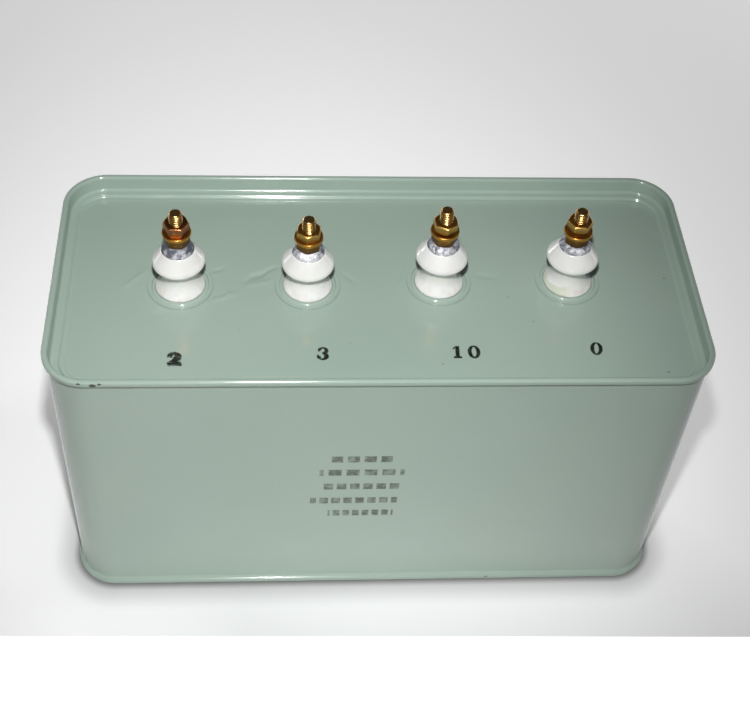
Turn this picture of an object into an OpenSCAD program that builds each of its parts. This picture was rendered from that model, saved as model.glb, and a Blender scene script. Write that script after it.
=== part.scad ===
// High voltage capacitor in a painted steel can, with four porcelain terminals in a row.
// Three wound sections share one common terminal. Millimetres, +Z up, origin under the middle of the can.

/* [Can] */
// Length of the can over its seams
can_l = 290; // [280:1:330]
// Depth of the can over its seams
can_w = 128; // [118:1:160]
// Height of the can from the floor to the top of the lid seam
can_h = 159.5; // [150:0.5:220]
// Radius of the seams at the upright corners
corner_r = 19.5; // [16:0.5:24]
// Thickness of the steel sheet
sheet_t = 0.55; // [0.45:0.05:0.6]
// Height of the seam that holds the lid
lid_seam_h = 3.1; // [3:0.1:4]
// Height of the seam that holds the base
base_seam_h = 3.6; // [3:0.1:4]
// Depth of the lid panel below the top of its seam
lid_sink = 9; // [8.5:0.1:11]
// Height of the base panel above the floor
base_sink = 4.8; // [4.5:0.1:8]

/* [Bushings] */
// Distance from one terminal to the next
tap_pitch = 58.9; // [50:0.1:60]
// Radius of the porcelain foot
foot_r = 11.1; // [10.5:0.1:12]
// Radius of the waist between foot and cap
waist_r = 8; // [7.5:0.1:9]
// Radius of the porcelain cap at its widest
cap_r = 11.8; // [11:0.1:13]
// Height of the widest part of the cap above the lid panel
cap_z = 16.3; // [15:0.1:18]
// Radius of the flange ring that is soldered to the lid
flange_r = 14.6; // [13.5:0.1:16]

/* [Studs and nuts] */
// Outer radius of the stud thread
stud_r = 3; // [2.9:0.05:3.05]
// Width across the flats of the hexagon nuts
nut_af = 10; // [9.8:0.1:11]
// Height of the lower nuts
lower_nut_h = 5; // [4:0.1:5.5]
// Radius of the washers
washer_r = 6.4; // [5.8:0.1:6.5]
// Thickness of the washers
washer_t = 1.6; // [1:0.1:2]

/* [Windings] */
// Number of wound elements in the sections of terminals one, two and three
element_count = [2, 3, 10]; // [1:1:10]
// Thickness of the pressboard around the windings
board_t = 1.5; // [1:0.1:2]

/* [Hidden] */
$fn = 96;
TAPS = [1, 2, 3, 4];
SECTIONS = [1, 2, 3];

// Colours
paint = [0.61, 0.68, 0.63];
porcelain = [0.95, 0.95, 0.93];
brass = [0.66, 0.47, 0.2];
dark_brass = [0.5, 0.34, 0.15];
solder = [0.6, 0.61, 0.63];
copper = [0.78, 0.45, 0.3];
kraft = [0.72, 0.58, 0.4];
film = [0.84, 0.83, 0.76];

// The double seam has five layers of sheet: three of them stand outside the body's outer face.
seam_out = 3 * sheet_t;
body_l = can_l - 2 * seam_out;
body_w = can_w - 2 * seam_out;
body_r = corner_r - seam_out;
bend_r = 1.5;                            // bend between a countersunk wall and its panel, at mid sheet
ledge = [2, 1, 1.1];                     // ledge round the lid panel: its width, and the run and drop of its step
shank_r = stud_r - 0.33;                 // where the threads of stud and nuts meet, halfway down the thread
panel_z = can_h - lid_sink;              // top face of the lid panel

// The terminals were set by hand, so no two stand quite alike.
row_mid = [-0.6, 1.1];
slip = [[0, -1.4], [-1.7, -1.4], [-0.7, 0.9], [0, 1.6]];
neck_extra = [0.2, -1.2, 0.6, 0.2];        // how much longer each porcelain neck came out of the kiln
nut_low_z = [28, 25.2, 27.2, 26.6];      // underside of each lower nut above the lid panel
nut_gap = [0, 0, 1, 1.8];                // slack left under each upper nut
upper_nut_h = [5.4, 4.2, 4.2, 4];
stud_free = [5.3, 5.8, 6.5, 5.5];        // stud end that stands out of each upper nut
lower_turn = [-4, 22, -5, 20];
upper_turn = [-2, 22, 35, -5];
seal_r = 7.2;                            // where the solder's edge lies on the porcelain cap
seal_rise = 7.1;                         // height of that edge above the widest part of the cap

// Porcelain below the lid, and what hangs under it on the stud
barrel_h = 13;
inner_washer_t = 1.2;
lug_t = 0.8;
inner_nut_h = 5;
stud_tail = 2;
bore_gap = 0.25;
lug_z = -barrel_h - inner_washer_t - lug_t;

// Room for the windings
element_total = element_count[0] + element_count[1] + element_count[2];
element_t = (can_l - 20) / element_total;
element_w = can_w - 16;
element_base_z = base_sink + sheet_t + 2.8;
element_h = panel_z - 34 - element_base_z;
strip_t = 0.5;
strip_w = 8;
top_board_z = element_base_z + element_h + 3;
wrap_gap = 1;

function tap_pos(i) = [row_mid.x + tap_pitch * (i - 2.5) + slip[i - 1].x, row_mid.y + slip[i - 1].y];
function washer_z(i) = nut_low_z[i - 1] + lower_nut_h;
function upper_nut_z(i) = washer_z(i) + washer_t + nut_gap[i - 1];
function elements_before(i) = i == 1 ? 0 : element_count[i - 2] + elements_before(i - 1);
function section_x(i) =
    [for (n = [elements_before(i), elements_before(i + 1)]) (n - element_total / 2) * element_t];

// Points along an arc, from angle a to angle b
function arc(centre, r, a, b, n = 6) =
    [for (k = [0:n]) let (w = a + (b - a) * k / n) centre + r * [cos(w), sin(w)]];

// Corners of a line bent round an arc in n equal turns. Each straight between them touches the arc, so that
// sheets bent round the same centre lie against one another.
function bend(centre, r, a, b, n = 6) =
    let (turn = (b - a) / n)
    [for (k = [0:n - 1]) let (w = a + turn * (k + 0.5)) centre + r / cos(turn / 2) * [cos(w), sin(w)]];

// Outline of a bent sheet of thickness t, from the line along the middle of its section
function unit(v) = v / norm(v);
function left_of(v) = [-v.y, v.x];
function side_at(p, k) =
    let (n = len(p), a = unit(p[max(k, 1)] - p[max(k, 1) - 1]),
         b = unit(p[min(k + 1, n - 1)] - p[min(k, n - 2)]), m = unit(left_of(a) + left_of(b)))
    m / (m * left_of(a));
function bent_sheet(p, t) = concat(
    [for (k = [0:len(p) - 1]) p[k] + side_at(p, k) * t / 2],
    [for (k = [len(p) - 1:-1:0]) p[k] - side_at(p, k) * t / 2]);

// The sheet turns over the top of a seam in two bends of radius r with a short flat between them.
function seam_turn(high, r) =
    concat(bend([0.2 * sheet_t, high], r, 180, 90), bend([0.8 * sheet_t, high], r, 90, 0));

// Centre line of an end's rim, drawn for the lid: panel edge, countersunk wall, over the seam and into the
// cover hook. x counts outwards from the body's outer face, y upwards from the floor. The panel may lie a
// step below a ledge at the foot of the wall.
function rim_line(top, sink, seam_h, ledge = [0, 0, 0]) =
    let (t = sheet_t, panel = top - sink - t / 2, high = top - 2.2 * t, low = top - seam_h + 1.5 * t,
         foot = -1.5 * t - bend_r)
    concat(
        [[foot - ledge[0] - ledge[1] - 2, panel]],
        ledge[2] > 0 ? [[foot - ledge[0] - ledge[1], panel], [foot - ledge[0], panel + ledge[2]]] : [],
        bend([foot, panel + ledge[2] + bend_r], bend_r, -90, 0),
        seam_turn(high, 1.7 * t),
        bend([1.5 * t, low], t, 0, -180),
        [[0.5 * t, high - 0.1]]);

// The body's flange turns outwards and down inside the rim and makes the body hook.
function body_hook(top, seam_h) =
    concat(seam_turn(top - 2.2 * sheet_t, 0.7 * sheet_t),
        [[1.5 * sheet_t, top - seam_h + 1.5 * sheet_t + 0.1]]);
function flip(p, z) = [for (k = [len(p) - 1:-1:0]) [p[k].x, z - p[k].y]];

module rounded_plate(l, w, r, h) {
    linear_extrude(h) {
        square([l - 2 * r, w], center = true);
        square([l, w - 2 * r], center = true);
        for (x = [-1, 1], y = [-1, 1]) translate([x * (l / 2 - r), y * (w / 2 - r)]) circle(r);
    }
}

// Carries a section round the can: x of the section counts outwards from the body's outer face.
module round_the_can(section) {
    run_x = body_l - 2 * body_r;
    run_y = body_w - 2 * body_r;
    for (side = [0, 1]) rotate(180 * side) {
        translate([run_x / 2, -body_w / 2, 0]) rotate([90, 0, -90]) linear_extrude(run_x) polygon(section);
        translate([body_l / 2, run_y / 2, 0]) rotate([90, 0, 0]) linear_extrude(run_y) polygon(section);
        translate([run_x / 2, run_y / 2, 0]) rotate_extrude(angle = 90) translate([body_r, 0])
            polygon(section);
        translate([-run_x / 2, run_y / 2, 0]) rotate(90) rotate_extrude(angle = 90) translate([body_r, 0])
            polygon(section);
    }
}

module at_tap(i, z = 0) {
    translate([tap_pos(i).x, tap_pos(i).y, panel_z + z]) children();
}

// Drawn and welded sleeve of sheet, flanged at both ends
module can_body() {
    wall = concat(flip(body_hook(0, base_seam_h), 0), body_hook(can_h, lid_seam_h));
    color(paint) round_the_can(bent_sheet(wall, sheet_t));
}

module panel_plate(z, rim = 0) {
    inset = 2 * (1.5 * sheet_t + bend_r + rim);
    translate([0, 0, z]) rounded_plate(body_l - inset, body_w - inset, body_r - inset / 2, sheet_t);
}

module base_plate() {
    color(paint) {
        round_the_can(bent_sheet(flip(rim_line(0, base_sink, base_seam_h), 0), sheet_t));
        panel_plate(base_sink);
    }
}

module lid() {
    color(paint) difference() {
        union() {
            round_the_can(bent_sheet(rim_line(can_h, lid_sink, lid_seam_h, ledge), sheet_t));
            panel_plate(panel_z - sheet_t, ledge[0] + ledge[1]);
        }
        for (i = TAPS) at_tap(i, -2) cylinder(r = waist_r + bore_gap, h = 4);
    }
}

// Pressed steel ring, soldered down on the lid and rolled in against the foot of the porcelain
module flange(i) {
    rise = 0.8;
    lip_r = foot_r + 0.1;
    color(paint) at_tap(i) rotate_extrude() polygon([
        [lip_r, 0], [flange_r, 0], [flange_r, 0.3], [flange_r - 0.2, 0.45], [lip_r + 1.6, 0.4],
        [lip_r + 1.1, rise - 0.1], [lip_r + 0.8, rise], [lip_r + 0.5, rise], [lip_r, 0.45]]);
}

// Turned and glazed porcelain: barrel through the lid, round foot, waist and a cap with a sharp lower edge,
// that rises as a cone to the solder
function porcelain_profile(extra) =
    let (bead_r = 1, neck_r = waist_r - 0.5, waist_z = 9.5, edge_r = 0.6, crown_r = 3.2, crown_a = 38,
         cap = cap_z + extra,
         under_r = cap_r - edge_r + edge_r * cos(70), under_z = cap - edge_r * sin(70))
    concat(
        [[stud_r + bore_gap, -barrel_h], [waist_r - 1, -barrel_h], [waist_r, -barrel_h + 1], [waist_r, 0]],
        arc([foot_r - bead_r, bead_r], bead_r, -90, 20, 5),
        [for (k = [1:8]) let (u = 1 - k / 8) [neck_r + (foot_r - 0.1 - neck_r) * pow(u, 2.6),
            waist_z - (waist_z - bead_r - 0.5) * u]],
        [for (k = [1:7]) let (u = k / 8) [neck_r + (under_r - neck_r) * pow(u, 2.4),
            waist_z + (under_z - waist_z) * u]],
        arc([cap_r - edge_r, cap], edge_r, -70, 0, 4),
        arc([cap_r - crown_r, cap], crown_r, 9, crown_a, 4),
        [[seal_r, cap + seal_rise], [5.4, cap + seal_rise + 0.5], [stud_r + bore_gap, cap + seal_rise + 0.5]]);

module bushing(i) {
    color(porcelain) at_tap(i) rotate_extrude() polygon(porcelain_profile(neck_extra[i - 1]));
}

// Cone of solder that seals the stud into the top of the porcelain
module solder_cap(i) {
    seat = cap_z + neck_extra[i - 1] + seal_rise;
    top = nut_low_z[i - 1];
    color(solder) at_tap(i) rotate_extrude() polygon([
        [shank_r, seat + 0.5], [5.4, seat + 0.5], [seal_r, seat], [seal_r - 0.05, seat + 0.5],
        [seal_r - 0.6, seat + 1.5], [5.9, (seat + 1.5 + top) / 2], [5.3, top - 0.3], [5.1, top], [shank_r, top]]);
}

// Threaded stud. It is drawn to the crests of its thread only where it stands free.
module stud(i) {
    tip = 0.5;
    foot_z = lug_z - inner_nut_h - stud_tail;
    nut_top = upper_nut_z(i) + upper_nut_h[i - 1];
    top = nut_top + stud_free[i - 1];
    color(brass) at_tap(i) rotate_extrude() polygon([
        [0, foot_z], [shank_r - tip, foot_z], [shank_r, foot_z + tip], [shank_r, nut_top], [stud_r, nut_top],
        [stud_r, top - tip], [stud_r - tip, top], [0, top]]);
}

// Hexagon nut with its corners turned off at both ends. Its thread is drawn as a plain bore.
module hex_nut(h) {
    corner = nut_af / sqrt(3);
    drop = (corner - nut_af / 2) * tan(30);
    difference() {
        intersection() {
            cylinder(r = corner, h = h, $fn = 6);
            rotate_extrude() polygon([
                [0, 0], [nut_af / 2, 0], [corner, drop], [corner, h - drop], [nut_af / 2, h], [0, h]]);
        }
        translate([0, 0, -1]) cylinder(r = shank_r, h = h + 2);
    }
}

module flat_washer(r, t) {
    difference() {
        cylinder(r = r, h = t);
        translate([0, 0, -1]) cylinder(r = stud_r + 0.2, h = t + 2);
    }
}

module lower_nut(i) {
    color(dark_brass) at_tap(i, nut_low_z[i - 1]) rotate(lower_turn[i - 1]) hex_nut(lower_nut_h);
}

module washer(i) {
    color(brass) at_tap(i, washer_z(i)) flat_washer(washer_r, washer_t);
}

module upper_nut(i) {
    color(brass) at_tap(i, upper_nut_z(i)) rotate(upper_turn[i - 1]) hex_nut(upper_nut_h[i - 1]);
}

module inner_washer(i) {
    color(brass) at_tap(i, -barrel_h - inner_washer_t) flat_washer(7, inner_washer_t);
}

module inner_nut(i) {
    color(brass) at_tap(i, lug_z - inner_nut_h) hex_nut(inner_nut_h);
}

// Flattened rolls of film and foil, one beside the other, with their winding axes upright
module winding(i) {
    slack = 0.2;
    end_r = element_t / 2 - slack;
    color(film) for (k = [0:element_count[i - 1] - 1])
        translate([section_x(i)[0] + (k + 0.5) * element_t, 0, element_base_z])
            linear_extrude(element_h) {
                square([2 * end_r, element_w - 2 * end_r], center = true);
                for (side = [-1, 1]) translate([0, side * (element_w / 2 - end_r)]) circle(end_r);
            }
}

module bar(a, b) {
    translate([min(a.x, b.x), min(a.y, b.y), min(a.z, b.z)])
        cube([abs(a.x - b.x), abs(a.y - b.y), abs(a.z - b.z)]);
}

// Flat copper lead: a strip over its section, a riser, a run below the lid and an eye on the stud.
// The lead of the fourth terminal comes up the end of the pack from the strip that joins all windings.
module lead(i) {
    x = tap_pos(i).x;
    y = tap_pos(i).y;
    eye_r = 6;
    eye_z = panel_z + lug_z;
    common = i == 4;
    ends = common ? [0, 0] : section_x(i);
    foot_z = common ? element_base_z - strip_t : element_base_z + element_h;
    riser_x = common ? element_total * element_t / 2 + 0.2 : (ends[0] + ends[1]) / 2;
    color(copper) difference() {
        union() {
            if (!common)
                bar([ends[0] + 3, y - strip_w / 2, foot_z], [ends[1] - 3, y + strip_w / 2, foot_z + strip_t]);
            bar([riser_x, y - strip_w / 2, foot_z], [riser_x + strip_t, y + strip_w / 2, eye_z + lug_t]);
            bar([riser_x, y - strip_w / 2, eye_z], [x, y + strip_w / 2, eye_z + lug_t]);
            translate([x, y, eye_z]) cylinder(r = eye_r, h = lug_t);
        }
        translate([x, y, eye_z - 1]) cylinder(r = stud_r + 0.2, h = lug_t + 2);
    }
}

// Strip under all the windings, soldered to each of them
module common_strip() {
    half = element_total * element_t / 2;
    y = tap_pos(4).y;
    color(copper) bar([3 - half, y - strip_w / 2, element_base_z - strip_t],
        [half + 0.2, y + strip_w / 2, element_base_z]);
}

// Pressboard box open at both ends, between the windings and the can
module winding_wrap() {
    inner_l = element_total * element_t + 2 * wrap_gap;
    inner_w = element_w + 2 * wrap_gap + 2;
    inner_r = 13.5;
    h = top_board_z - base_sink - sheet_t - 2;
    color(kraft) translate([0, 0, base_sink + sheet_t + 2]) difference() {
        rounded_plate(inner_l + 2 * board_t, inner_w + 2 * board_t, inner_r + board_t, h);
        translate([0, 0, -1]) rounded_plate(inner_l, inner_w, inner_r, h + 2);
    }
}

module board() {
    rounded_plate(element_total * element_t + 2 * wrap_gap + 2 * board_t, element_w + 2 * wrap_gap + 2,
        13.5 + board_t, 2);
}

module top_board() {
    slot_l = 3;
    color(kraft) difference() {
        translate([0, 0, top_board_z]) board();
        for (i = SECTIONS)
            translate([(section_x(i)[0] + section_x(i)[1]) / 2, tap_pos(i).y, top_board_z + 1])
                cube([slot_l, strip_w + 2, 4], center = true);
        translate([element_total * element_t / 2 + 0.4, tap_pos(4).y, top_board_z + 1])
            cube([slot_l, strip_w + 2, 4], center = true);
    }
}

module bottom_board() {
    color(kraft) translate([0, 0, base_sink + sheet_t]) board();
}

can_body();
base_plate();
lid();
for (i = TAPS) {
    flange(i);
    bushing(i);
    solder_cap(i);
    stud(i);
    lower_nut(i);
    washer(i);
    upper_nut(i);
    inner_washer(i);
    inner_nut(i);
    lead(i);
}
for (i = SECTIONS) winding(i);
common_strip();
winding_wrap();
top_board();
bottom_board();
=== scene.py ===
# Dressing of a high voltage capacitor: a painted steel can with four porcelain terminals in a row.
# Each section below makes one piece or group of pieces, in the order in which the real one is put together.
import math

import bmesh
import bpy
from mathutils import Matrix, Vector, noise


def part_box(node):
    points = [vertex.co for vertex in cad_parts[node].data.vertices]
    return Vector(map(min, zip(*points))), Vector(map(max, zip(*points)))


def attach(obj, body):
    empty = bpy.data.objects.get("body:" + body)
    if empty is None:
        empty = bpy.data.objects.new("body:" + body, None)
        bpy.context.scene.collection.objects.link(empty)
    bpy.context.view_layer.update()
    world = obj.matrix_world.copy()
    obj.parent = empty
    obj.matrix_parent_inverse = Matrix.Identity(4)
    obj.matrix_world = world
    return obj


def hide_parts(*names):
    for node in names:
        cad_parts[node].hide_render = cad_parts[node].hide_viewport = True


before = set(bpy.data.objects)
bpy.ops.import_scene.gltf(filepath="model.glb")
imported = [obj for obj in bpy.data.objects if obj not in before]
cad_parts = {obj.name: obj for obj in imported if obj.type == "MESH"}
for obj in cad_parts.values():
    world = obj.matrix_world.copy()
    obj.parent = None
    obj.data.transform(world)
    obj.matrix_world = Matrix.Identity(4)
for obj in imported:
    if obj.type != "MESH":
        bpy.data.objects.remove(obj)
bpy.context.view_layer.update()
MM = 0.001
TAPS = (1, 2, 3, 4)

# ---------------------------------------------------------------------------------------------- camera
# A hand-held view from in front and above, turned a little to the right and tipped a little.
camera = bpy.data.objects.new("camera", bpy.data.cameras.new("camera"))
bpy.context.scene.collection.objects.link(camera)
bpy.context.scene.camera = camera
down, aside, tipped = math.radians(47.61), math.radians(-6.03), math.radians(4.44)
camera.matrix_world = (Matrix.Translation((-0.0464, -0.4196, 0.6004)) @ Matrix.Rotation(aside, 4, "Z")
                       @ Matrix.Rotation(math.pi / 2 - down, 4, "X") @ Matrix.Rotation(tipped, 4, "Z"))
camera.data.sensor_width = 36
camera.data.lens = 65.04
camera.data.shift_x = 0.0048
camera.data.shift_y = -0.0756
camera.data.clip_start = 0.01


# ------------------------------------------------------------------------------------- floor and light
# A pale sheet of paper lies on the floor, with a white board along its front edge. One small lamp stands just
# above the lens, so shadows fall behind the can. A broad lamp fills its front, a weak one its back.
class Flow:
    """A node's output that can be added, multiplied and compared like a number."""

    def __init__(self, tree, socket):
        self.tree, self.socket = tree, socket

    def node(self, kind, *wired, out=0, named=(), **settings):
        """Makes any node, with inputs by order (None is left alone) and by name, and returns one output."""
        made = self.tree.nodes.new(kind)
        for key, value in settings.items():
            setattr(made, key, value)
        pairs = [(made.inputs[k], v) for k, v in enumerate(wired) if v is not None]
        pairs += [(made.inputs[k], v) for k, v in dict(named).items()]
        for place, value in pairs:
            if isinstance(value, Flow):
                self.tree.links.new(value.socket, place)
            else:
                place.default_value = value
        return Flow(self.tree, made.outputs[out])

    def maths(self, operation, *others):
        return self.node("ShaderNodeMath", self, *others, operation=operation)

    def __add__(self, other): return self.maths("ADD", other)
    def __radd__(self, other): return self.maths("ADD", other)
    def __sub__(self, other): return self.maths("SUBTRACT", other)
    def __rsub__(self, other): return self.maths("MULTIPLY_ADD", -1.0, other)
    def __mul__(self, other): return self.maths("MULTIPLY", other)
    def __rmul__(self, other): return self.maths("MULTIPLY", other)
    def __truediv__(self, other): return self.maths("DIVIDE", other)
    def __pow__(self, other): return self.maths("POWER", other)
    def __abs__(self): return self.maths("ABSOLUTE")
    def least(self, other): return self.maths("MINIMUM", other)
    def most(self, other): return self.maths("MAXIMUM", other)

    def step(self, low, high):
        """Rises smoothly from 0 at low to 1 at high, or falls where high is below low."""
        if low > high:
            return 1 - self.step(high, low)
        return self.node("ShaderNodeMapRange", self, low, high, interpolation_type="SMOOTHSTEP")

    def blend(self, a, b):
        """Colour a where this is 0 and b where it is 1."""
        return self.node("ShaderNodeMix", out=2, data_type="RGBA", named={0: self, 6: a, 7: b})

    def noise(self, scale, detail=2.0, rough=0.5, stretch=(1, 1, 1)):
        """Even noise from 0 to 1 over this position, scale in features for each metre."""
        spot = self if stretch == (1, 1, 1) else self.node("ShaderNodeVectorMath", self, stretch,
                                                           operation="MULTIPLY")
        return self.node("ShaderNodeTexNoise", named={"Vector": spot, "Scale": scale, "Detail": detail,
                                                      "Roughness": rough})

    def bump(self):
        """Normal of a surface that stands this many metres above its mesh."""
        return self.node("ShaderNodeBump", named={"Strength": 1.0, "Distance": 1.0, "Height": self})

    def axes(self):
        return [self.node("ShaderNodeSeparateXYZ", self, out=k) for k in range(3)]


def srgb(r, g, b):
    """Linear colour from 0 to 255 display values."""
    linear = [c / 255 / 12.92 if c < 11 else ((c / 255 + 0.055) / 1.055) ** 2.4 for c in (r, g, b)]
    return (*linear, 1.0)


def new_material(name, **constants):
    """Returns a material, its shader and the object position. Constants go on the shader's own sockets."""
    material = bpy.data.materials.new(name)
    material.use_nodes = True
    shader = material.node_tree.nodes["Principled BSDF"]
    for key, value in constants.items():
        shader.inputs[key.replace("_", " ")].default_value = value
    place = material.node_tree.nodes.new("ShaderNodeTexCoord")
    return material, shader, Flow(material.node_tree, place.outputs["Object"])


def wire(shader, **flows):
    for key, flow in flows.items():
        flow.tree.links.new(flow.socket, shader.inputs[key.replace("_", " ")])


def add_mesh(name, points, faces, material=None):
    mesh = bpy.data.meshes.new(name)
    mesh.from_pydata(points, [], faces)
    mesh.shade_smooth()
    if material:
        mesh.materials.append(material)
    piece = bpy.data.objects.new(name, mesh)
    bpy.context.scene.collection.objects.link(piece)
    return piece


PAPER_HALF = 6.0
FOOT_L, FOOT_W, FOOT_R = 0.145, 0.064, 0.0195       # half the outline of the can's foot, and its corners
floor_paint, floor_shader, spot = new_material("floor paper", Roughness=0.9, Specular_IOR_Level=0.1)
fx, fy, _ = spot.axes()
from_can = ((fx + 0.12) ** 2 + (fy - 0.02) ** 2) ** 0.5
from_lens = ((fx + 0.1) ** 2 + (fy + 0.3) ** 2) ** 0.5
in_camera, in_gloss, in_glass = [spot.node("ShaderNodeLightPath", out=k) for k in (0, 3, 6)]
in_view = in_camera.most(in_gloss).most(in_glass)

# painted shadow: the paper darkens in a soft band and a narrow line round the can's foot, for rays of view
# only
beside = ((abs(fx) - (FOOT_L - FOOT_R)).most(0.0) ** 2
          + (abs(fy) - (FOOT_W - FOOT_R)).most(0.0) ** 2) ** 0.5 - FOOT_R
shade = 0.2 + beside.step(0.0, 0.016) * 0.38 + beside.step(-0.001, 0.004) * 0.42
shade = 1 - in_view * (1 - shade)

# it grows paler with the distance from the lens, most at the right, and again in the near left corner
pale = (from_lens * 2.4 - 0.49).least(from_lens * 0.25 + 0.325 + fx.most(0.0) * 0.06)
pale = (pale + fx * (fy - 0.05) * 0.3 + fx.least(0.0) * (0.4 - fy) * 1.2).most(0.0)
near_left = (-0.06 - fx).most(0.0) * (0.035 - fy).most(0.0)
pale = (pale + (near_left * 18).least(0.19)) * in_view * shade
white_board = in_camera * (fy + fx * 0.02).step(-0.095, -0.0956)
pale = pale.most(white_board)
tone = from_can.step(0.1, 0.75) * 0.5 + fx.step(-0.05, 0.25) * 0.5
tone = tone.blend(srgb(236, 236, 236), srgb(198, 198, 199))
wire(floor_shader, Base_Color=shade.blend(srgb(0, 0, 0), tone),
     Emission_Color=spot.node("ShaderNodeCombineXYZ", pale, pale, pale))
floor_shader.inputs["Emission Strength"].default_value = 1.0
corners = [(x * PAPER_HALF, y * PAPER_HALF, 0) for x, y in ((-1, -1), (1, -1), (1, 1), (-1, 1))]
floor = add_mesh("floor", corners, [(0, 1, 2, 3)], floor_paint)

world = bpy.data.worlds.new("room")
bpy.context.scene.world = world
world.use_nodes = True
room = world.node_tree.nodes["Background"]
way = world.node_tree.nodes.new("ShaderNodeTexCoord")
up = Flow(world.node_tree, way.outputs["Generated"]).axes()[2]
CEILING, WALLS = (0.03, 0.03, 0.03, 1), (0.36, 0.36, 0.36, 1)
world.node_tree.links.new(up.step(0.6, 0.0).blend(CEILING, WALLS).socket, room.inputs["Color"])


def lamp(kind, name, place, aim, power, **settings):
    light = bpy.data.lights.new(name, kind)
    light.energy = power
    for key, value in settings.items():
        setattr(light, key, value)
    holder = bpy.data.objects.new(name, light)
    bpy.context.scene.collection.objects.link(holder)
    holder.matrix_world = (Matrix.Translation(place)
                           @ (Vector(aim) - Vector(place)).to_track_quat("-Z", "Y").to_matrix().to_4x4())
    return holder


lamp("SPOT", "lamp_over_lens", (-0.048, -0.3455, 0.6676), (-0.051, -0.024, 0.1), 17.1, shadow_soft_size=0.012,
     spot_size=math.radians(53), spot_blend=1.0)
fills = (lamp("SPOT", "front_fill", (-0.06, -0.7, 0.15), (-0.01, -0.064, 0.05), 5.8, shadow_soft_size=0.15,
              spot_size=math.radians(34), spot_blend=1.0, use_shadow=False),
         lamp("AREA", "rear_fill", (-0.5, 1.5, 0.22), (0, 0, 0.09), 4.0, size=0.5))
for fill in fills:
    fill.visible_glossy = False             # only the small lamp shows as a bright point on glossy surfaces
bpy.context.scene.view_settings.view_transform = "Standard"

# ----------------------------------------------------------------------------------------- painted can
# Sheet steel 0.55 mm thick: a sleeve flanged at both ends, with a countersunk lid and base rolled on in
# double seams. The whole can is sprayed with a glossy pale green enamel after it is closed.
BODY_L, BODY_W, BODY_R = 286.6, 124.6, 17.8     # outside of the sleeve and its corners, in millimetres
SHEET = 0.55
CAN_H, BASE_Z = 159.5, 4.8
PANEL_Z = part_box("flange_1")[0].z * 1000
tap_at = {i: (sum(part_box(f"bushing_{i}"), Vector()) * 500).xy for i in TAPS}
LIP_R, FLANGE_R = 11.15, 14.6
LID_SEAM, BASE_SEAM = 3.1, 3.6                  # heights of the two seams
HOOK = 1.5 * SHEET                              # half the three layers that a seam folds together
BEND = 1.5
WALL_FOOT = -HOOK - BEND                        # from the sleeve's face to a countersunk wall's foot
PANEL_EDGE = 2.0                                # flat that each end line keeps inside its wall
LEDGE, STEP_RUN, STEP_DROP = 2.0, 1.0, 1.1      # the lid's ledge under its wall, and the step down from it


def rounded(corners, steps=8):
    """Points of a line through corners (x, y, radius), each corner turned on an arc of its radius."""
    line = []
    for k, (x, y, r) in enumerate(corners):
        here = Vector((x, y))
        if not r:
            line.append((x, y))
            continue
        before = (Vector(corners[k - 1][:2]) - here).normalized()
        after = (Vector(corners[(k + 1) % len(corners)][:2]) - here).normalized()
        half = before.angle(after) / 2
        middle = here + (before + after).normalized() * r / math.sin(half)
        start = here + before * r / math.tan(half) - middle
        sweep = math.pi - 2 * half
        side = 1 if before.cross(after) < 0 else -1
        for n in range(steps + 1):
            line.append(tuple(middle + Matrix.Rotation(side * sweep * n / steps, 2) @ start))
    return line


def bent_sheet(line):
    """Closed outline of the sheet steel where its middle follows the line."""
    line = [Vector(p) for p in line]
    line = [p for k, p in enumerate(line) if k == 0 or (p - line[k - 1]).length > 1e-6]
    sides = []
    for k in range(len(line)):
        a = (line[max(k, 1)] - line[max(k, 1) - 1]).normalized()
        b = (line[min(k + 1, len(line) - 1)] - line[min(k, len(line) - 2)]).normalized()
        left = Vector((-a.y - b.y, a.x + b.x)).normalized()
        sides.append(left / left.dot(Vector((-a.y, a.x))))
    half = SHEET / 2
    return ([tuple(p + side * half) for p, side in zip(line, sides)]
            + [tuple(p - side * half) for p, side in reversed(list(zip(line, sides)))])


def divided(outline, step, whole=round):
    """Points along a closed outline, its sides cut into equal parts of about a step."""
    result = []
    for k, point in enumerate(outline):
        a, b = Vector(point), Vector(outline[(k + 1) % len(outline)])
        parts = max(1, whole((b - a).length / step))
        result += [a.lerp(b, n / parts) for n in range(parts)]
    return result


def band(rings, count, first=0, closed=True):
    """Faces between rings of count points each, and from the last ring to the first if closed."""
    faces = []
    for n in range(rings if closed else rings - 1):
        a, b = first + n * count, first + (n + 1) % rings * count
        faces += [(a + k, a + (k + 1) % count, b + (k + 1) % count, b + k) for k in range(count)]
    return faces


def supported(outline, gap=0.25, longest=3.0):
    """Adds points near the ends of long straights, so that smooth shading stays flat along them."""
    result = []
    for k, point in enumerate(outline):
        result.append(point)
        a, b = Vector(point), Vector(outline[(k + 1) % len(outline)])
        length = (b - a).length
        if length > 4 * gap:
            spots = [gap / length] + ([0.5] if length > longest else []) + [1 - gap / length]
            result += [tuple(a.lerp(b, u)) for u in spots]
    return result


def new_tree(name, **inputs):
    """Makes a geometry node tree and returns it with its inputs, each named and of the kind given."""
    tree = bpy.data.node_groups.new(name, "GeometryNodeTree")
    for key, kind in inputs.items():
        tree.interface.new_socket(name=key, in_out="INPUT", socket_type=f"NodeSocket{kind}")
    tree.interface.new_socket(name="Result", in_out="OUTPUT", socket_type="NodeSocketGeometry")
    group = tree.nodes.new("NodeGroupInput")
    return tree, {socket.name: Flow(tree, socket) for socket in group.outputs if socket.name}


def end_tree(shape, finish):
    """Smooths a tree's shape, gives it its material and sends it out."""
    shape = shape.node("GeometryNodeSetShadeSmooth", shape)
    shape = shape.node("GeometryNodeRealizeInstances", shape)
    shape = shape.node("GeometryNodeSetMaterial", shape, named={"Material": finish})
    shape.tree.links.new(shape.socket, shape.tree.nodes.new("NodeGroupOutput").inputs[0])


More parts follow.
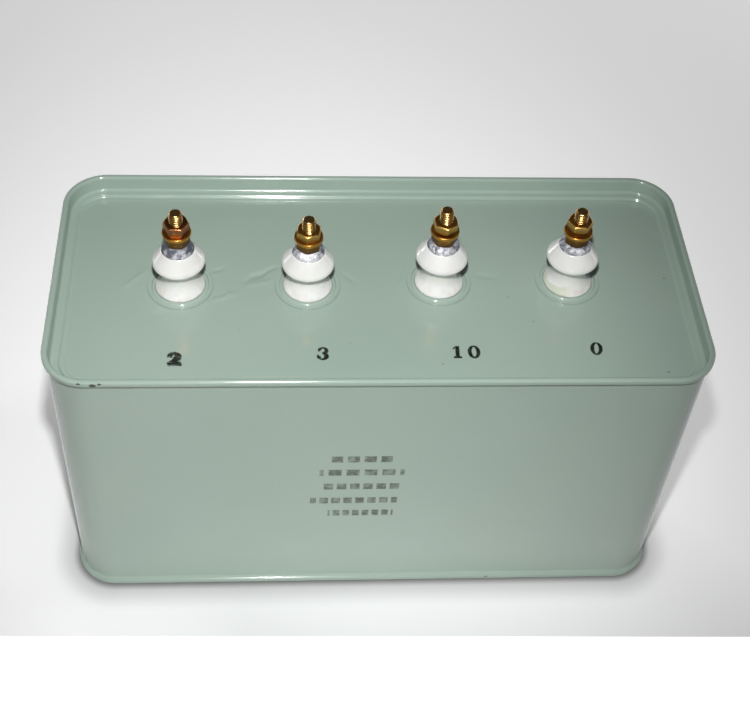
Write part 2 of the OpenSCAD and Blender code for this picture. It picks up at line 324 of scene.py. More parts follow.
def sweep_tree():
    """Node tree that carries the piece's own outline round the rounded rectangle of the can."""
    tree, given = new_tree("sheet round the can", Outline="Geometry", Length="Float", Width="Float",
                           Corner="Float", Step="Float", Unevenness="Float", Finish="Material")
    flow = given["Length"]
    path = flow.node("GeometryNodeCurvePrimitiveQuadrilateral", given["Length"], given["Width"])
    path = flow.node("GeometryNodeFilletCurve", path, 24, given["Corner"], mode="POLY")
    path = flow.node("GeometryNodeResampleCurve", path, mode="LENGTH", named={"Length": given["Step"]})
    path = flow.node("GeometryNodeSetCurveNormal", path, mode="Z_UP")
    outline = flow.node("GeometryNodeMeshToCurve", given["Outline"])
    sheet = flow.node("GeometryNodeCurveToMesh", path, outline)
    # the sheet is uneven sideways only, so every height stays exact
    place = flow.node("GeometryNodeInputPosition")
    ripple = flow.node("ShaderNodeTexNoise", out=1, named={"Vector": place, "Scale": 90.0, "Detail": 2.0})
    ripple = flow.node("ShaderNodeVectorMath", ripple, (0.5, 0.5, 0.5), operation="SUBTRACT")
    ripple = flow.node("ShaderNodeVectorMath", ripple, (1, 1, 0), operation="MULTIPLY")
    ripple = flow.node("ShaderNodeVectorMath", operation="SCALE",
                       named={"Vector": ripple, "Scale": given["Unevenness"]})
    end_tree(flow.node("GeometryNodeSetPosition", sheet, named={"Offset": ripple}), given["Finish"])
    return tree


def baked(piece, tree, **inputs):
    """Runs a node tree on the piece with named inputs and keeps the result as a plain mesh."""
    modifier = piece.modifiers.new("shape", "NODES")
    modifier.node_group = tree
    for item in tree.interface.items_tree:
        if item.in_out == "INPUT" and item.name in inputs:
            modifier[item.identifier] = inputs[item.name]
    bpy.context.view_layer.update()
    result = bpy.data.meshes.new_from_object(piece.evaluated_get(bpy.context.evaluated_depsgraph_get()))
    piece.modifiers.clear()
    piece.data = result
    return piece


WELD = 1e-6


def outward(piece):
    """Welds a closed mesh and turns its faces outwards."""
    work = bmesh.new()
    work.from_mesh(piece.data)
    bmesh.ops.remove_doubles(work, verts=work.verts, dist=WELD)
    bmesh.ops.recalc_face_normals(work, faces=work.faces)
    work.to_mesh(piece.data)
    work.free()
    return piece


def enamel():
    """Sprayed green enamel with its orange peel, printed numerals and bars, and a few chips."""
    material, shader, spot = new_material("green enamel", IOR=1.62)
    x, y, z = [axis * 1000 for axis in spot.axes()]
    mottle = spot.noise(9.0, 3.0)
    fine = spot.noise(420.0, 3.0, 0.6)
    tone = (mottle - 0.5) * 0.5 + (fine - 0.5) * 0.12 + 0.5
    colour = tone.step(0.2, 0.8).blend(srgb(152, 171, 159), srgb(163, 179, 168))
    scuff = spot.noise(55.0, 6.0, 0.7, (1, 3, 1)).step(0.58, 0.75)
    roughness = 0.11 + scuff * 0.08 + fine * 0.03          # faint scuffs took a little of the gloss off

    def ellipse(u, v, ru, rv):
        """Below 0 inside an ellipse, in millimetres near its edge."""
        return (((u / ru) ** 2 + (v / rv) ** 2) ** 0.5 - 1) * min(ru, rv)

    def box(u, v, ru, rv):
        return (abs(u) - ru).most(abs(v) - rv)

    def local(cx, cy, turn=0.0, along=(x, y)):
        """Position in millimetres from a point on the surface, turned by an angle in degrees."""
        c, s = math.cos(math.radians(turn)), math.sin(math.radians(turn))
        u, v = along[0] - cx, along[1] - cy
        return u * c + v * s, v * c - u * s

    def numeral_zero(cx, cy, turn):
        u, v = local(cx, cy, turn)
        return ellipse(u, v, 2.7, 3.6).most(-1 * ellipse(u, v, 1.05, 2.9))

    def numeral_one(cx, cy, turn):
        u, v = local(cx, cy, turn)
        stem = box(u, v, 0.85, 3.4)
        foot = box(u, v + 3.0, 1.7, 0.45)
        lean_u, lean_v = local(cx - 0.9, cy + 2.5, turn + 30)
        return stem.least(foot).least(box(lean_u, lean_v, 1.0, 0.4))

    def numeral_three(cx, cy, turn):
        u, v = local(cx, cy, turn)
        top = ellipse(u, v - 1.75, 2.2, 1.9).most(-1 * ellipse(u + 0.55, v - 1.75, 1.15, 1.15))
        low = ellipse(u, v + 1.5, 2.5, 2.2).most(-1 * ellipse(u + 0.6, v + 1.5, 1.3, 1.35))
        cut = box(u + 2.0, v - 0.15, 1.6, 1.0)
        dots = ellipse(u + 1.5, v - 2.3, 0.75, 0.7).least(ellipse(u + 1.7, v + 2.2, 0.85, 0.8))
        return top.least(low).most(-1 * cut).least(dots)

    def numeral_two(cx, cy, turn):
        u, v = local(cx, cy, turn)
        top = ellipse(u, v - 1.4, 2.5, 2.3).most(-1 * ellipse(u + 0.5, v - 1.5, 1.1, 1.1))
        top = top.most(-1 * box(u + 1.5, v + 0.1, 1.5, 1.1))
        lean_u, lean_v = local(cx - 0.2, cy - 1.3, turn + 40)
        stroke = box(lean_u, lean_v, 2.4, 0.75)
        return top.least(stroke).least(box(u, v + 2.8, 2.7, 0.85))

    worn = spot.noise(900.0, 3.0, 0.7)
    edge = (spot.noise(1400.0, 2.0) - 0.5) * 0.5
    ink = numeral_zero(40.4, -40.0, 0).least(numeral_zero(95.0, -38.2, -8)).least(numeral_one(33.1, -40.0, 0))
    ink = ink.least(numeral_three(-25.7, -40.6, -4))
    # the first numeral is printed twice, a little apart, and smeared
    double = numeral_two(-89.1, -43.6, 0).least(numeral_two(-90.0, -43.2, 5))
    streak = spot.noise(500.0, 2.0, 0.5, (0.5, 2.5, 1)).step(0.3, 0.5)
    ink = (ink + edge).step(0.2, -0.08).most((double + edge * 1.4).step(0.32, -0.1) * (0.55 + streak * 0.45))
    on_lid = z.step(PANEL_Z - 1.5, PANEL_Z - 0.7) * z.step(PANEL_Z + 1.2, PANEL_Z + 0.8)
    ink = ink * on_lid * (0.92 + worn.step(0.35, 0.6) * 0.08)

    # five faded rows of plain bars on the front: left end, right end, height, and a bar with its gap
    rows, bar_half, row_half = None, 0.36, 2.3
    for left, right, middle, cell in ((-21.0, 6.5, 102.2, 7.6), (-26.3, 12.5, 92.0, 8.2),
                                      (-25.4, 12.0, 81.0, 6.1), (-30.2, 10.5, 69.7, 5.6),
                                      (-21.7, 9.2, 59.3, 4.6)):
        u, v = local((left + right) / 2, middle, 0, (x, z))
        bar = (abs((u / cell).maths("FRACT") - 0.5) - bar_half) * cell
        row = bar.most(box(u, v, (right - left) / 2, row_half))
        rows = row if rows is None else rows.least(row)
    faded = spot.noise(260.0, 4.0, 0.7).step(0.3, 0.62)
    rows = (rows + edge * 1.3).step(0.15, -0.15) * (0.35 + faded * 0.5) * y.step(-61.9, -62.2)

    # chips down to the dark primer, each with its place and radius
    chips, long_ways = None, 0.35
    for cx, cy, cz, r in ((-121.9, -64, 157.8, 0.9), (-119.1, -64, 158.6, 0.5), (-127.5, -63.5, 158.6, 0.5),
                          (133.8, 4.5, PANEL_Z, 0.35), (-62.2, -27, PANEL_Z, 0.3),
                          (-13.8, -34.6, PANEL_Z, 0.35), (26, -46.7, PANEL_Z, 0.35),
                          (68.8, -22.2, PANEL_Z, 0.3), (59.2, -7.5, PANEL_Z, 0.25),
                          (124.9, -51.7, PANEL_Z, 0.5), (96, -63.5, 6, 0.5), (60, -63.9, 2.5, 0.5)):
        away = ((x - cx) ** 2 * long_ways + (y - cy) ** 2 + (z - cz) ** 2) ** 0.5 - r
        chips = away if chips is None else chips.least(away)
    chips = (chips + (spot.noise(1100.0, 2.0) - 0.5) * 0.8).step(0.1, -0.1)

    # painted shade: a dark line in the step at the edge of each flange ring, strongest on the near side
    for axis in tap_at.values():
        away = abs(((x - axis.x) ** 2 + (y - axis.y) ** 2) ** 0.5 - FLANGE_R - 0.15)
        front = (y - axis.y).step(6.0, -8.0)
        colour = (away.step(0.7, 0.1) * on_lid * front * 0.2).blend(colour, srgb(96, 112, 102))
    colour = ink.blend(colour, srgb(14, 17, 16))
    colour = rows.blend(colour, srgb(50, 54, 42))
    colour = (chips * (1 - on_lid * 0.5)).blend(colour, srgb(62, 62, 52))
    orange_peel = spot.noise(300.0, 2.0, 0.4) * 0.000004
    wave = spot.noise(16.0, 1.0, 0.3) * 0.00035
    wire(shader, Base_Color=colour, Roughness=roughness + ink * 0.2 + chips * 0.4,
         Normal=(orange_peel + wave - chips * 0.00006).bump())
    return material


green = enamel()
round_the_can = sweep_tree()


def sheet_piece(name, outline, *nodes):
    """Sweeps an outline (outwards from the sleeve's face, up; millimetres) round the can."""
    points = [(x * MM, -z * MM, 0) for x, z in supported(outline)]
    piece = bpy.data.objects.new(name, bpy.data.meshes.new(name))
    piece.data.from_pydata(points, [(k, (k + 1) % len(points)) for k in range(len(points))], [])
    bpy.context.scene.collection.objects.link(piece)
    baked(piece, round_the_can, Length=BODY_L * MM, Width=BODY_W * MM, Corner=BODY_R * MM, Step=1.5 * MM,
          Unevenness=0.12 * MM, Finish=green)
    outward(piece)
    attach(piece, "root")
    if nodes:
        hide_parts(*nodes)


def end_line(sink, seam, *step):
    """Middle of the sheet of an end, from its panel over the seam into the cover hook, measured down."""
    level, tight = sink + SHEET / 2, SHEET * 0.999
    wall = [(WALL_FOOT - PANEL_EDGE, level, 0)]
    if step:
        ledge, run, drop = step
        wall = [(WALL_FOOT - ledge - run - PANEL_EDGE, level, 0), (WALL_FOOT - ledge - run, level, 0.7),
                (WALL_FOOT - ledge, level - drop, 0.7)]
        level -= drop
    return rounded(wall + [(-HOOK, level, BEND), (-HOOK, SHEET / 2, 1.7 * SHEET),
                           (2.5 * SHEET, SHEET / 2, 1.7 * SHEET), (2.5 * SHEET, seam - SHEET / 2, tight),
                           (0.5 * SHEET, seam - SHEET / 2, tight), (0.5 * SHEET, 2.3 * SHEET, 0)])


lid_line = [(x, CAN_H - down) for x, down in end_line(CAN_H - PANEL_Z, LID_SEAM, LEDGE, STEP_RUN, STEP_DROP)]
base_line = [(x, down) for x, down in end_line(BASE_Z, BASE_SEAM)]
fold_r = 0.7 * SHEET
sleeve_line = rounded([(HOOK, BASE_SEAM - 1.6 * SHEET, 0), (HOOK, HOOK, fold_r), (-0.5 * SHEET, HOOK, fold_r),
                       (-0.5 * SHEET, CAN_H - HOOK, fold_r), (HOOK, CAN_H - HOOK, fold_r),
                       (HOOK, CAN_H - LID_SEAM + 1.6 * SHEET, 0)])
sheet_piece("lid_rim", bent_sheet(lid_line), "lid")
sheet_piece("sleeve", bent_sheet(sleeve_line), "can_body")
sheet_piece("base_rim", bent_sheet(base_line), "base_plate")

# A bead of sealing compound, sprayed over with the can, fills the groove above the base seam.
hook_z, bead_h = BASE_SEAM - HOOK, 2.2
bead = [(-0.05, hook_z + 0.2), (-0.05, hook_z + bead_h)]
bead += [(0.75 * (k / 8) ** 2, hook_z + bead_h - 1.15 * k / 8) for k in range(1, 9)]
bead += [(HOOK * (1 + math.cos(a)), hook_z + HOOK * math.sin(a))
         for a in (math.radians(75 - 5 * k) for k in range(9))]
bead += [(HOOK, hook_z + 0.2)]
sheet_piece("base_bead", bead)


# ----------------------------------------------------------------------------------------- lid panel
# The flat middle of the lid, inside its countersunk wall, with four punched holes. Soldering the flanges
# on has drawn the thin sheet a little, and left faint creases round the first two terminals.
HOLE_R = 8.25
LID_IN = LEDGE + STEP_RUN + PANEL_EDGE - WALL_FOOT       # from the sleeve's face in to the flat panel
half_l, half_w = BODY_L / 2 - LID_IN, BODY_W / 2 - LID_IN
# creases from one point to another, with a height, or a depth below 0, and a width
CREASES = ((-76, -10.5, -64, -5.5, 0.55, 0.83), (-60, 2.5, -47, 10.5, -0.78, 1.01),
           (-58, 0, -47, 3.5, 0.55, 0.83), (-76.5, 8, -70, 10.5, -0.52, 0.83),
           (-113, -0.5, -104.5, 9, 0.44, 1.1), (-16, 7, -9, 2, -0.36, 0.92),
           (-101, -19, -93, -16, -0.26, 1.29), (46, 6, 56, 4.5, -0.33, 1.1), (9, -2, 13, 6, 0.26, 1.1))


def smooth(value, low, high):
    u = min(max((value - low) / (high - low), 0), 1)
    return u * u * (3 - 2 * u)


def panel_height(p):
    """Height of the drawn sheet above its flat, in millimetres."""
    height = noise.noise(Vector((p.x / 48, p.y / 40, 3))) * 0.16
    stray = Vector([noise.noise(Vector((p.x / 5, p.y / 5, seed))) for seed in (7, 1)])
    bent = p + stray * 1.6
    for x0, y0, x1, y1, depth, width in CREASES:
        run = Vector((x1 - x0, y1 - y0))
        u = min(max((bent - Vector((x0, y0))).dot(run) / run.length_squared, 0), 1)
        away = (bent - Vector((x0, y0)) - run * u).length
        height += depth * math.exp(-(away / width) ** 2) * (1 - abs(2 * u - 1) * 0.5)
    height *= smooth(min(half_l - abs(p.x), half_w - abs(p.y)), 0, 10)
    return height * smooth(min((p - c).length for c in tap_at.values()), FLANGE_R, FLANGE_R + 5)


def lid_panel():
    corner, rings, step, crowding = BODY_R - LID_IN, 37, 1.6, 1.15
    borders = [-half_l, *((tap_at[i].x + tap_at[i + 1].x) / 2 for i in TAPS[:3]), half_l]
    points, faces = [], []
    for i in TAPS:
        x0, x1 = borders[i - 1], borders[i]
        left, right = corner * (i == 1), corner * (i == 4)
        outline = rounded([(x0, -half_w, left), (x1, -half_w, right), (x1, half_w, right),
                           (x0, half_w, left)], steps=14)
        border = divided(outline, step, math.ceil)
        faces += band(rings, len(border), len(points), closed=False)
        for n in range(rings):
            for place in border:
                away = place - tap_at[i]
                here = tap_at[i] + (away.normalized() * HOLE_R).lerp(away, (n / (rings - 1)) ** crowding)
                points.append((here.x * MM, here.y * MM, (PANEL_Z + panel_height(here)) * MM))
    piece = add_mesh("lid_panel", points, faces, green)
    work = bmesh.new()
    work.from_mesh(piece.data)
    bmesh.ops.remove_doubles(work, verts=work.verts, dist=WELD)
    under = bmesh.ops.extrude_face_region(work, geom=work.faces[:], use_keep_orig=True)["geom"]
    lowered = [part for part in under if isinstance(part, bmesh.types.BMVert)]
    bmesh.ops.translate(work, verts=lowered, vec=(0, 0, -SHEET * MM))
    bmesh.ops.recalc_face_normals(work, faces=work.faces)
    for edge in work.edges:
        edge.smooth = edge.calc_face_angle(0) < math.radians(40)
    work.to_mesh(piece.data)
    work.free()
    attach(piece, "root")
    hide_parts("lid")


lid_panel()


# ------------------------------------------------------------------------------------- flange rings
# A pressed steel ring holds each bushing. It is soldered down on the lid, rolled in against the foot of
# the porcelain, and painted over with the can.
def turned(name, outline, at, base_z, material, reshape=None):
    """Turns a closed outline (radius, height in millimetres) round the upright axis through a terminal."""
    steps, points = 128, []
    for n in range(steps):
        c, s = math.cos(2 * math.pi * n / steps), math.sin(2 * math.pi * n / steps)
        for r, z in outline:
            p = Vector((at.x + r * c, at.y + r * s, base_z + z))
            points.append(tuple((reshape(p, r, z) if reshape else p) * MM))
    piece = outward(add_mesh(name, points, band(steps, len(outline)), material))
    piece.data.set_sharp_from_angle(angle=math.radians(50))
    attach(piece, "root")
    return piece


for i in TAPS:
    ring = rounded([(LIP_R, 0, 0), (FLANGE_R, 0, 0), (FLANGE_R, 0.42, 0.2), (LIP_R + 1.85, 0.34, 0.25),
                    (LIP_R + 1.2, 1.0, 0.9), (LIP_R + 0.1, 0.9, 0.3), (LIP_R, 0.4, 0.05)], steps=8)
    piece = turned(f"flange_ring_{i}", supported(ring, 0.12, 50), tap_at[i], PANEL_Z, green)
    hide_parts(f"flange_{i}")

# --------------------------------------------------------------------------------------- porcelain
# The bushings are turned from porcelain clay, glazed white and fired: barrel, bead at the foot, waist and
# domed cap. Handling has left a little brown dirt and some stray paint at the feet.
def glaze():
    material, shader, spot = new_material("white glaze", IOR=1.52, Coat_Weight=0.25, Coat_Roughness=0.04,
                                          Subsurface_Weight=0.06, Subsurface_Scale=0.004)
    x, y, z = [axis * 1000 for axis in spot.axes()]
    up = z - PANEL_Z
    cloud = spot.noise(120.0, 3.0)
    colour = cloud.step(0.25, 0.8).blend(srgb(217, 217, 213), srgb(226, 226, 224))
    # painted shade: the waist under the cap is tinted a little darker and greener
    under_cap_shade = up.step(5.5, 9.0) * up.step(14.0, 10.5)
    colour = (under_cap_shade * 0.35).blend(colour, srgb(214, 217, 206))
    dirt = spot.noise(330.0, 4.0, 0.65).step(0.5, 0.68) * up.step(5.2, 1.6)
    colour = (dirt * 0.3).blend(colour, srgb(172, 140, 108))
    speck = spot.noise(1500.0, 1.0, 0.4).step(0.79, 0.83)
    colour = (speck * 0.5).blend(colour, srgb(120, 104, 84))
    # paint from the can, wiped over the foot of the fourth bushing
    last = tap_at[4]
    out = ((x - last.x + 1.2) ** 2 + (y - last.y) ** 2) ** 0.5
    smear = (out + (spot.noise(420.0, 3.0) - 0.5) * 1.6).step(8.0, 8.7) * (x - last.x).step(0.5, -3.5)
    smear = smear * (y - last.y).step(4.0, 1.0) * (x - last.x).step(-16.0, -14.0) * up.step(6.0, 4.5)
    colour = (smear * 0.6).blend(colour, srgb(186, 194, 168))
    wire(shader, Base_Color=colour, Roughness=0.1 + cloud * 0.06 + dirt * 0.3 + smear * 0.1,
         Normal=(spot.noise(180.0, 2.0) * 0.00006).bump())
    return material


def arc(x, z, r, start, end, steps):
    return [(x + r * math.cos(math.radians(a)), z + r * math.sin(math.radians(a)))
            for a in (start + (end - start) * k / steps for k in range(steps + 1))]


BARREL, BARREL_R, BORE_R = 13, 8.0, 3.25
CLAY_R, BEAD_R, NECK_R, WAIST_Z = 11.1, 1.0, 7.5, 9.5
LOWER_FLARE, UPPER_FLARE = 2.6, 2.4      # how late the waist widens towards the foot and the cap
CAP_R, EDGE_R, EDGE_A, CROWN_R, CROWN_A = 11.8, 0.6, 70, 3.2, 38
SEAL_R, SEAL_RISE = 7.2, 7.1             # where the solder's edge lies, above the widest part of the cap
SEAT_H = 0.5                             # the metallised seat stands this much above that edge
cap_mid = {i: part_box(f"bushing_{i}")[1].z * 1000 - PANEL_Z - SEAL_RISE - SEAT_H for i in TAPS}
white = glaze()


def porcelain(cap_z):
    """Closed outline of a bushing whose cap is widest at this height over the lid."""
    under_r = CAP_R - EDGE_R + EDGE_R * math.cos(math.radians(EDGE_A))
    under_z = cap_z - EDGE_R * math.sin(math.radians(EDGE_A))
    crown = arc(CAP_R - CROWN_R, cap_z, CROWN_R, 4, CROWN_A, 14)
    seal = (SEAL_R, cap_z + SEAL_RISE)
    outline = [(BORE_R, -BARREL), (BARREL_R - 1, -BARREL), (BARREL_R, -BARREL + 1), (BARREL_R, 0)]
    outline += arc(CLAY_R - BEAD_R, BEAD_R, BEAD_R, -90, 20, 14)
    outline += [(NECK_R + (CLAY_R - 0.1 - NECK_R) * (1 - k / 20) ** LOWER_FLARE,
                 WAIST_Z - (WAIST_Z - BEAD_R - 0.5) * (1 - k / 20)) for k in range(1, 21)]
    outline += [(NECK_R + (under_r - NECK_R) * (k / 18) ** UPPER_FLARE,
                 WAIST_Z + (under_z - WAIST_Z) * k / 18) for k in range(1, 18)]
    outline += arc(CAP_R - EDGE_R, cap_z, EDGE_R, -EDGE_A, 0, 10) + crown
    outline += [tuple(Vector(crown[-1]).lerp(Vector(seal), k / 8)) for k in range(1, 9)]
    return outline + [(5.4, seal[1] + SEAT_H), (BORE_R, seal[1] + SEAT_H)]


def unround(p, r, z):
    """Clay shrinks unevenly in the kiln, so no two bushings come out quite round."""
    push = noise.noise(p / 14) * 0.14 * smooth(r, 7, 9) * smooth(z, 0, 3)
    return p + Vector((push, push * 0.7, 0))


for i in TAPS:
    piece = turned(f"porcelain_{i}", porcelain(cap_mid[i]), tap_at[i], PANEL_Z, white, reshape=unround)
    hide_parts(f"bushing_{i}")


# ------------------------------------------------------------------------------------- solder caps
# Tin solder, run by hand between the stud and the metallised top of the porcelain, seals each bushing.
# It has set in a lumpy cone with bright and dull patches.
def tin():
    material, shader, spot = new_material("tin solder", Metallic=0.5)
    x, y, z = [axis * 1000 for axis in spot.axes()]
    patch = spot.noise(420.0, 4.0, 0.62)
    pits = spot.noise(2300.0, 3.0, 0.7)
    # dull is real dulling on the first cap, and painted shade on the back of every cap, whose front stays
    # bright
    dull = x.step(-60.0, -62.0) * 0.16 + (y - 1.0).step(-7.5, -2.0) * 0.18   # the first cap has dulled most
    colour = (patch - dull).step(0.2, 0.52).blend(srgb(108, 110, 124), srgb(222, 222, 227))
    colour = ((pits - dull * 0.5).step(0.42, 0.28) * 0.6).blend(colour, srgb(46, 46, 58))
    wire(shader, Base_Color=colour, Roughness=0.36 + pits * 0.25,
         Normal=(patch * 0.0003 + pits * 0.00018).bump())
    return material


solder = tin()
for i in TAPS:
    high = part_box(f"solder_cap_{i}")[1].z * 1000 - PANEL_Z
    seat = cap_mid[i] + SEAL_RISE
    cone = [(2.7, seat + SEAT_H), (5.4, seat + SEAT_H), (SEAL_R, seat), (SEAL_R + 0.1, seat + 0.35),
            (6.7, seat + 1.5), (5.9, (seat + 1.5 + high) / 2), (5.3, high - 0.3), (5.0, high), (2.7, high)]

    def lumpy(p, r, z):
        axis = Vector((*tap_at[i], p.z))
        push = noise.noise(p / 2.1) * 0.36 + noise.noise(p / 0.9) * 0.12
        return p + (p - axis).normalized() * push * smooth(r, 4.6, 5.6) * smooth(high - z, 0, 0.8) * (
            0.25 + 0.75 * smooth(z - seat, 0.4, 2.0))

    piece = turned(f"solder_{i}", divided(cone, 0.35), tap_at[i], PANEL_Z, solder, reshape=lumpy)
    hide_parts(f"solder_cap_{i}")


# ------------------------------------------------------------------------------- studs, nuts, washers
# Brass studs with a rolled M6 thread, hexagon nuts and turned washers. The brass has darkened to brown
# where it is not handled and stays bright on the thread's crests; the roots carry tarnish and painted shade,
# and the nuts' top edges a painted highlight.
def brass(name, bright, dull, highlight_colour, share, rough):
    """share is how much of the surface is tarnished, from 0 to 1; the fourth colour goes on a highlight
    painted along the nuts' top edges.
    """
    material, shader, spot = new_material(name, Metallic=1.0)
    cloud = spot.noise(260.0, 5.0, 0.65)
    fleck = spot.noise(1800.0, 2.0, 0.6)
    tarnish = (cloud * 0.75 + fleck * 0.25).step(0.72 - share * 0.5, 0.38 - share * 0.3)
    groove = spot.node("ShaderNodeAttribute", out=2, attribute_name="groove")
    edge_highlight = spot.node("ShaderNodeAttribute", out=2, attribute_name="edge_highlight")
    # darker in the thread's roots and on the stud's ends: tarnish and painted shade
    colour = groove.blend(tarnish.blend(bright, dull), srgb(58, 36, 14))
    # a painted highlight along the nuts' top edges
    colour = edge_highlight.blend(colour, highlight_colour)
    scratch = spot.noise(900.0, 3.0, 0.6, (1, 1, 6))
    wire(shader, Base_Color=colour, Roughness=rough - 0.08 + tarnish * 0.15 + fleck * 0.12 + groove * 0.3,
         Normal=(scratch * 0.00008 + cloud * 0.00012).bump())
    return material


stud_brass = brass("stud brass", srgb(212, 170, 104), srgb(132, 96, 50), srgb(226, 196, 140), 0.4, 0.27)
nut_brass = brass("nut brass", srgb(158, 117, 55), srgb(88, 61, 25), srgb(226, 188, 108), 0.6, 0.42)
red_brass = brass("red brass", srgb(122, 78, 42), srgb(84, 50, 26), srgb(196, 134, 92), 0.6, 0.42)
dark_brass = brass("dark brass", srgb(104, 73, 38), srgb(54, 36, 17), srgb(160, 118, 60), 0.65, 0.45)
washer_brass = brass("washer brass", srgb(204, 150, 70), srgb(120, 78, 32), srgb(226, 182, 98), 0.5, 0.36)
inner_brass = brass("inner brass", srgb(214, 170, 92), srgb(170, 126, 62), srgb(226, 186, 110), 0.3, 0.3)


def thread_tree():
    """Node tree for a threaded rod: a grid rolled up, with the thread's ridge and the chamfered ends."""
    tree, given = new_tree("threaded rod", Geometry="Geometry", Radius="Float", Depth="Float", Pitch="Float",
                           Length="Float", Chamfer="Float", Rows="Int", Finish="Material")
    radius, length = given["Radius"], given["Length"]
    grid = radius.node("GeometryNodeMeshGrid", 1.0, 1.0, 49, given["Rows"])
    u, v, _ = radius.node("GeometryNodeInputPosition").axes()
    u, v = u + 0.5, v + 0.5
    along = v * (length + radius * 2) - radius
    height = along.most(0.0).least(length)
    # ridge between 0 and 1, flat at crest and root
    turn = height / given["Pitch"] - u
    ridge = (abs(turn.maths("FRACT") - 0.5) * 4.4 - 0.6).most(0.0).least(1.0)
    reach = radius - given["Depth"] * (1 - ridge)
    end = height.least(length - height)
    reach = reach.least(radius - given["Chamfer"] + end)
    past_end = (height - along).most(along - height)
    reach = (reach - past_end).most(0.0)
    angle = u * (2 * math.pi)
    place = radius.node("ShaderNodeCombineXYZ", reach * angle.maths("COSINE"), reach * angle.maths("SINE"),
                        height)
    # 1 in the roots of the thread, and less on the end faces, where the brass is painted dark with tarnish
    # and shade
    root = ridge.step(0.45, 0.0) * end.step(0.0004, 0.0009)
    groove = root.most(past_end.step(0.0002, 0.0006) * 0.4)
    grid = radius.node("GeometryNodeStoreNamedAttribute", grid, named={"Name": "groove", "Value": groove})
    rod = radius.node("GeometryNodeSetPosition", grid, named={"Position": place})
    end_tree(radius.node("GeometryNodeMergeByDistance", rod, named={"Distance": WELD}), given["Finish"])
    return tree


threaded = thread_tree()
for i in TAPS:
    low, high = [corner.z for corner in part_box(f"stud_{i}")]
    piece = add_mesh(f"threaded_stud_{i}", [(0, 0, 0)], [])
    baked(piece, threaded, Radius=0.003, Depth=0.0006, Pitch=0.00125, Length=high - low, Chamfer=0.0007,
          Rows=420, Finish=stud_brass)
    piece.data.transform(Matrix.Translation((tap_at[i].x * MM, tap_at[i].y * MM, low)))
    outward(piece)
    piece.data.set_sharp_from_angle(angle=math.radians(60))
    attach(piece, "root")
    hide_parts(f"stud_{i}")


def hex_nut(name, node, turn, material):
    """Hexagon nut between the heights of its solid, its corners turned off at both ends."""
    low, high = [corner.z * 1000 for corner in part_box(node)]
    tall, flat, bore = high - low, 5.0, 2.75
    corner, chamfer = flat / math.cos(math.radians(30)), math.tan(math.radians(30))
    hexagon = rounded([(corner * math.cos(a), corner * math.sin(a), 0.35)
                       for a in (math.radians(60 * k) for k in range(6))], steps=4)
    # one line from face to face at each point of the hexagon, with a small bevel (bite) at its two edges
    edge, mouth, bite, sink = flat * 0.95, 3.35, 0.14, 0.75
    lines = []
    for p in divided(hexagon, 0.35):
        reach = p.length
        drop = max(0, reach - edge) * chamfer
        side = [(reach, tall - drop - bite), (reach - 0.3 * bite, tall - drop - 0.3 * bite),
                (reach - bite, tall - drop + bite * 0.35)]
        top = side + [(max(edge, reach - 0.6), tall - max(0, reach - 0.6 - edge) * chamfer),
                      (edge, tall), (edge - 0.15, tall), ((edge + mouth) / 2, tall), (mouth + 0.12, tall),
                      (mouth, tall - 0.04), (bore, tall - sink)]
        lines.append((p.normalized(), [(r, tall - z) for r, z in reversed(top)] + top))
    spin = Matrix.Rotation(math.radians(turn), 2)
    middle = tap_at[int(node[-1])]
    points, count = [], len(lines[0][1])
    for way, line in lines:
        way = spin @ way
        points += [((middle.x + way.x * r) * MM, (middle.y + way.y * r) * MM, (low + z) * MM)
                   for r, z in line]
    piece = add_mesh(name, points, band(len(lines), count), material)
    # the bevel at each nut's top edges gets a painted highlight
    edge_highlight = piece.data.attributes.new("edge_highlight", "FLOAT", "POINT")
    for n in range(len(lines)):
        for k in range(count // 2, count // 2 + len(side)):
            edge_highlight.data[n * count + k].value = 0.8
    outward(piece)
    piece.data.set_sharp_from_angle(angle=math.radians(40))
    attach(piece, "root")
    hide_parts(node)


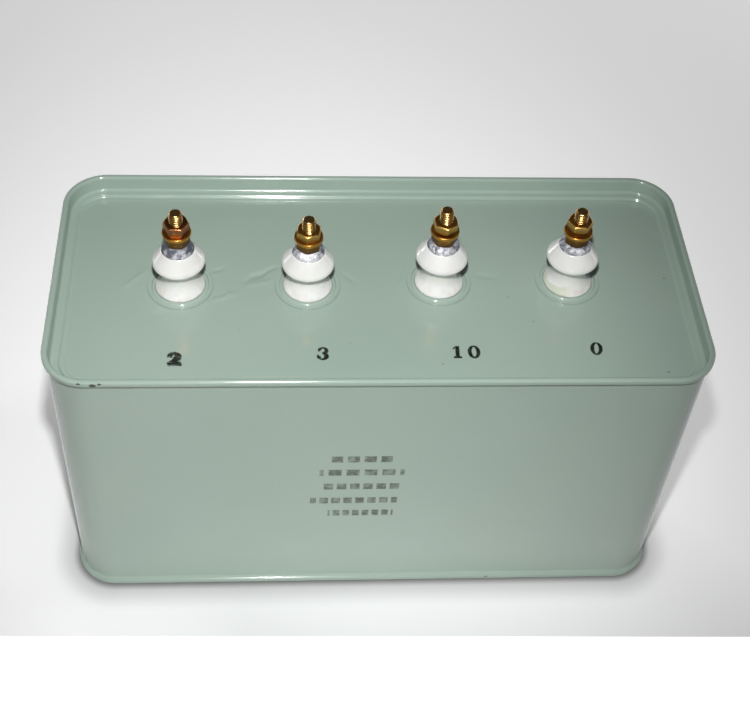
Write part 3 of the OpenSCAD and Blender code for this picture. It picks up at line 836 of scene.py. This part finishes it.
LOWER_TURN = {1: -4, 2: 22, 3: -5, 4: 20}
UPPER_TURN = {1: -2, 2: 22, 3: 35, 4: -5}
for i in TAPS:
    hex_nut(f"hex_lower_{i}", f"lower_nut_{i}", LOWER_TURN[i], dark_brass)
    hex_nut(f"hex_upper_{i}", f"upper_nut_{i}", UPPER_TURN[i], red_brass if i == 1 else nut_brass)
    hex_nut(f"hex_inner_{i}", f"inner_nut_{i}", 0, inner_brass)
    for node, material in ((f"washer_{i}", washer_brass), (f"inner_washer_{i}", inner_brass)):
        low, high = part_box(node)
        tall, wide = (high.z - low.z) * 1000, (high.x - low.x) * 500
        disc = rounded([(3.2, 0, 0.1), (wide, 0, 0.25), (wide, tall, 0.35), (3.2, tall, 0.2)], 4)
        piece = turned(f"turned_{node}", supported(disc, 0.15, 9), tap_at[i], low.z * 1000, material)
        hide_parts(node)

# --------------------------------------------------------------------------------------- inside
# Sealed in the can and never seen: leads cut from copper strip, flat windings of film and foil joined by
# another strip, and sheets of oiled pressboard round them. The solids themselves are given these finishes.
def strip_copper():
    material, shader, spot = new_material("strip copper", Metallic=1.0)
    stain = spot.noise(90.0, 4.0, 0.6)
    drawn = spot.noise(700.0, 2.0, 0.5, (0.05, 1, 1))
    colour = stain.step(0.35, 0.7).blend(srgb(205, 128, 92), srgb(160, 92, 64))
    wire(shader, Base_Color=colour, Roughness=0.24 + stain * 0.2, Normal=(drawn * 0.00006).bump())
    return material


def wound_film():
    material, shader, spot = new_material("wound film", Coat_Weight=0.3)
    layers = spot.noise(2500.0, 1.0, 0.5, (1, 0.02, 0.02))
    cloud = spot.noise(40.0, 3.0)
    colour = (layers * 0.7 + cloud * 0.3).step(0.3, 0.7).blend(srgb(196, 190, 168), srgb(232, 228, 210))
    wire(shader, Base_Color=colour, Roughness=0.25 + cloud * 0.15, Normal=(layers * 0.0001).bump())
    return material


def pressboard():
    material, shader, spot = new_material("pressboard")
    fibre = spot.noise(600.0, 5.0, 0.7, (1, 1, 0.3))
    oil = spot.noise(14.0, 3.0)
    colour = fibre.step(0.3, 0.75).blend(srgb(166, 134, 92), srgb(196, 164, 118))
    colour = (oil.step(0.4, 0.65) * 0.5).blend(colour, srgb(140, 108, 70))
    wire(shader, Base_Color=colour, Roughness=0.75 - oil * 0.25, Normal=(fibre * 0.0002).bump())
    return material


copper, film, board = strip_copper(), wound_film(), pressboard()
for name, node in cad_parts.items():
    if node.hide_render:
        continue
    if name.startswith(("lead", "common")):
        finish = copper
    elif name.endswith(("wrap", "board")):
        finish = board
    else:
        finish = film
    node.data.materials.clear()
    node.data.materials.append(finish)
